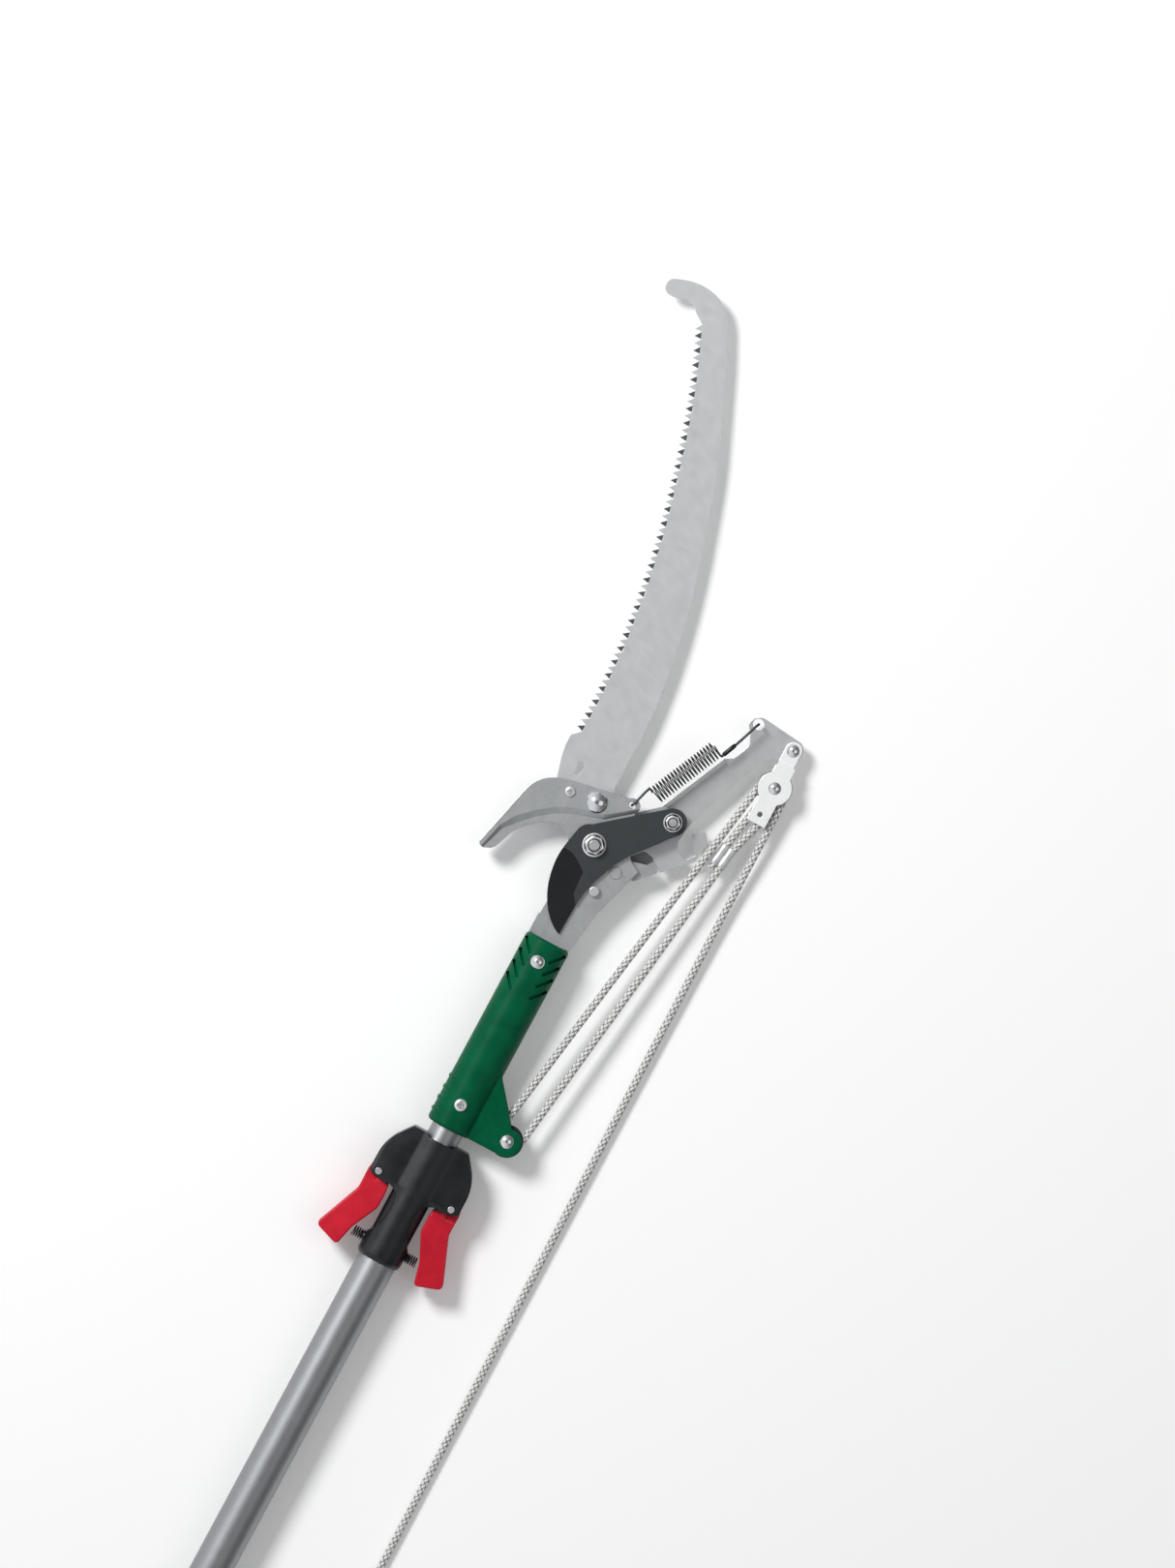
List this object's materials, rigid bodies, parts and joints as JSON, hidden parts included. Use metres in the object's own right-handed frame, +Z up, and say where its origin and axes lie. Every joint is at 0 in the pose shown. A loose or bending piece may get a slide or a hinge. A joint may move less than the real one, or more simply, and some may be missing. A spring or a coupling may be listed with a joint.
{
  "type": "telescoping pole saw",
  "caption": "Telescoping pole with a curved pull saw, a hooked bypass cutter worked by a rope through two sheaves, a spring return and a squeeze clamp.",
  "frame": {"origin": "centre of the pole's butt end face, on the pole's axis", "axes": "+X along the pole towards the saw, +Z up out of the blades' faces, +Y towards the saw's teeth"},
  "size_m": [1.9873, 0.3076, 0.0391],
  "materials": {
    "tube": "satin anodised",
    "rubber": "matte",
    "black_moulding": "fine moulded",
    "green_moulding": "satin moulded",
    "red_moulding": "moulded",
    "bush_plastic": "natural acetal",
    "casting": "tumbled die casting",
    "zinc": "bright zinc plated",
    "pressed_steel": "satin zinc",
    "strap_steel": "bright zinc",
    "saw_steel": "satin ground",
    "coated_steel": "non-stick coated",
    "spring_wire": "oiled black wire",
    "rope": "braided"
  },
  "bodies": {
    "root": {"outer_tube": "tube", "end_cap": "rubber", "pole_grip": "rubber", "clamp_body": "black_moulding", "clamp_bush": "bush_plastic", "clamp_pins": "zinc", "clamp_spring_left": "spring_wire", "clamp_spring_right": "spring_wire"},
    "lever_left": {"clamp_lever_left": "red_moulding"},
    "lever_right": {"clamp_lever_right": "red_moulding"},
    "head": {"inner_tube": "tube", "inner_tube_bush": "bush_plastic", "handle_socket": "green_moulding", "handle_bolt": "zinc", "handle_screw": "zinc", "bracket_axle": "zinc", "hook_body": "casting", "stop_stud": "pressed_steel", "saw_blade": "saw_steel", "saw_bolt": "zinc", "saw_screw": "zinc", "pivot_bolt": "zinc", "pivot_nut": "zinc", "rope_run_a": "rope", "rope_run_b": "rope", "rope_pull": "rope", "rope_hank": "rope", "rope_tie": "rubber", "rope_tail": "rope", "pull_toggle": "black_moulding"},
    "bracket_wheel": {"bracket_sheave": "black_moulding"},
    "cutter": {"cutting_blade": "coated_steel", "lever_arm": "pressed_steel", "tail_spacer": "zinc", "tail_bolt": "zinc", "tail_nut": "zinc", "block_rivet": "zinc"},
    "block": {"block_strap_front": "strap_steel", "block_strap_back": "strap_steel", "block_axle": "zinc", "becket_pin": "zinc", "rope_bend": "rope", "rope_loop": "rope", "rope_ferrule": "strap_steel"},
    "block_wheel": {"block_sheave": "black_moulding"},
    "spring": {"return_spring": "spring_wire"},
    "spring_end": {"spring_hook": "spring_wire"}
  },
  "joints": [
    {"name": "pole_slide", "type": "slide", "parent": "root", "child": "head", "axis": [1, 0, 0], "range_m": [0, 1.1]},
    {"name": "clamp_lever_left_hinge", "type": "hinge", "parent": "root", "child": "lever_left", "pos_m": [1.2935, 0.0305, 0], "axis": [0, 0, 1], "range_deg": [0, 6.5], "stiffness_Nm_per_rad": 1.5, "springref_deg": -8.59, "deforming": ["clamp_spring_left"]},
    {"name": "clamp_lever_right_hinge", "type": "hinge", "parent": "root", "child": "lever_right", "pos_m": [1.2935, -0.0305, 0], "axis": [0, 0, -1], "range_deg": [0, 6.5], "stiffness_Nm_per_rad": 1.5, "springref_deg": -8.59, "deforming": ["clamp_spring_right"]},
    {"name": "blade_pivot", "type": "hinge", "parent": "head", "child": "cutter", "pos_m": [1.5822, 0.004, 0], "axis": [0, 0, -1], "range_deg": [0, 67], "stiffness_Nm_per_rad": 1.2, "springref_deg": -28.65, "deforming": ["rope_run_a", "rope_run_b", "rope_pull"]},
    {"name": "block_pivot", "type": "hinge", "parent": "cutter", "child": "block", "pos_m": [1.7139, -0.0936, 0], "axis": [0, 0, -1], "range_deg": [-50, 5]},
    {"name": "block_wheel_spin", "type": "hinge", "parent": "block", "child": "block_wheel", "pos_m": [1.6827, -0.0945, -0.0066], "axis": [0, 0, 1], "continuous": true},
    {"name": "bracket_wheel_spin", "type": "hinge", "parent": "head", "child": "bracket_wheel", "pos_m": [1.3573, -0.043, 0], "axis": [0, 0, 1], "continuous": true},
    {"name": "spring_swing", "type": "hinge", "parent": "head", "child": "spring", "pos_m": [1.6215, -0.0068, 0], "axis": [0, 0, -1], "range_deg": [0, 85], "deforming": ["return_spring"]},
    {"name": "spring_stretch", "type": "slide", "parent": "spring", "child": "spring_end", "axis": [0.8727, -0.4882, 0], "range_m": [0, 0.045], "deforming": ["spring_hook"]}
  ],
  "couplings": [
    {"joint": "block_pivot", "follows": "blade_pivot", "ratio": -0.6569},
    {"joint": "spring_swing", "follows": "blade_pivot", "ratio": 1.1773},
    {"joint": "spring_stretch", "follows": "blade_pivot", "m_per_rad": 0.031012}
  ]
}
